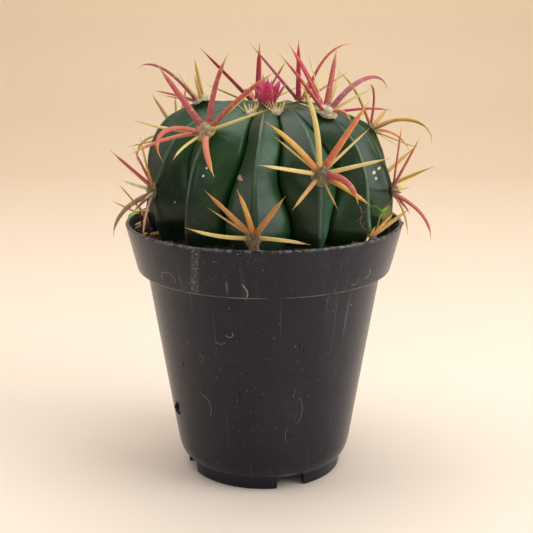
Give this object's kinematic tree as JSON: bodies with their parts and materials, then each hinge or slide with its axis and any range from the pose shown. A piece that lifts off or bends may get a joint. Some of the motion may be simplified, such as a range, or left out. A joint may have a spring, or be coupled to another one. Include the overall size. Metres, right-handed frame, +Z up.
{
  "type": "potted barrel cactus",
  "caption": "Round ribbed barrel cactus with hooked spine clusters, rooted in dark soil in a plain tapered plastic nursery pot with a lip band and drain notches.",
  "frame": {"origin": "centre of the flat pad under the pot, level with the foot ring, on the pot's axis", "axes": "+Z up along the pot's axis, -Y towards the viewer, +X to the viewer's right"},
  "size_m": [0.1033, 0.1011, 0.1329],
  "materials": {
    "pot": "satin",
    "peat": "matte",
    "stem_skin": "satin",
    "root": "matte",
    "spine": "satin",
    "young_spine": "satin",
    "seedling": "satin",
    "bark": "matte",
    "straw": "matte",
    "perlite": "matte"
  },
  "bodies": {
    "root": {"pot": "pot", "soil": "peat", "stem": "stem_skin", "root": "root", "spine_cluster_03": "spine", "spine_cluster_04": "spine", "spine_cluster_05": "spine", "spine_cluster_06": "spine", "spine_cluster_07": "spine", "spine_cluster_08": "spine", "spine_cluster_09": "spine", "spine_cluster_10": "spine", "spine_cluster_11": "spine", "spine_cluster_12": "spine", "spine_cluster_13": "spine", "spine_cluster_14": "spine", "spine_cluster_15": "spine", "spine_cluster_16": "spine", "spine_cluster_17": "spine", "crown_tuft_1": "young_spine", "crown_tuft_2": "young_spine", "crown_tuft_3": "young_spine", "seedling_left": "seedling", "seedling_right": "seedling", "dry_rootlet": "root", "bark_chip_1": "bark", "bark_chip_2": "bark", "bark_chip_3": "bark", "bark_chip_4": "bark", "bark_chip_5": "bark", "straw_bit_1": "straw", "straw_bit_2": "straw", "straw_bit_3": "straw", "perlite_1": "perlite", "perlite_2": "perlite", "perlite_3": "perlite"}
  },
  "joints": []
}
